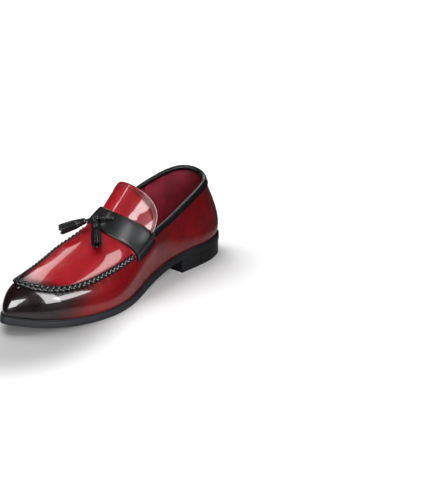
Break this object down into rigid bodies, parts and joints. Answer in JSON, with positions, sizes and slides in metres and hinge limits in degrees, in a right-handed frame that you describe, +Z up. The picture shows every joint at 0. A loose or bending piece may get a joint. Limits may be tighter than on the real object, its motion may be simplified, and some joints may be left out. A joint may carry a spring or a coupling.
{
  "type": "tassel loafer",
  "caption": "Low slip-on dress shoe for the left foot with a sewn apron toe, a wide saddle strap, a cord with tassels, a bound collar and a low block heel.",
  "frame": {"origin": "on the floor under the middle of the sole's outline, centre of the bounding box's bottom", "axes": "+Z up, toe towards -Y, heel towards +Y, outer (lateral) side towards +X"},
  "size_m": [0.0966, 0.3, 0.1015],
  "materials": {
    "red_leather": "glossy polished leather, deep red burnished black at the toe and heel",
    "black_leather": "black satin leather",
    "lining_leather": "matt wine red lining leather",
    "black_sole": "smooth dark grey to black sole edge"
  },
  "bodies": {
    "root": {"outsole": "black_sole", "heel": "black_sole", "insole": "lining_leather", "upper": "red_leather", "saddle_strap": "black_leather", "collar_binding": "black_leather", "apron_braid": "black_leather", "tassel_knot": "black_leather", "cord_to_slit": "black_leather", "cord_to_tassel": "black_leather", "tassel_outer": "black_leather", "tassel_inner": "black_leather"}
  },
  "joints": []
}
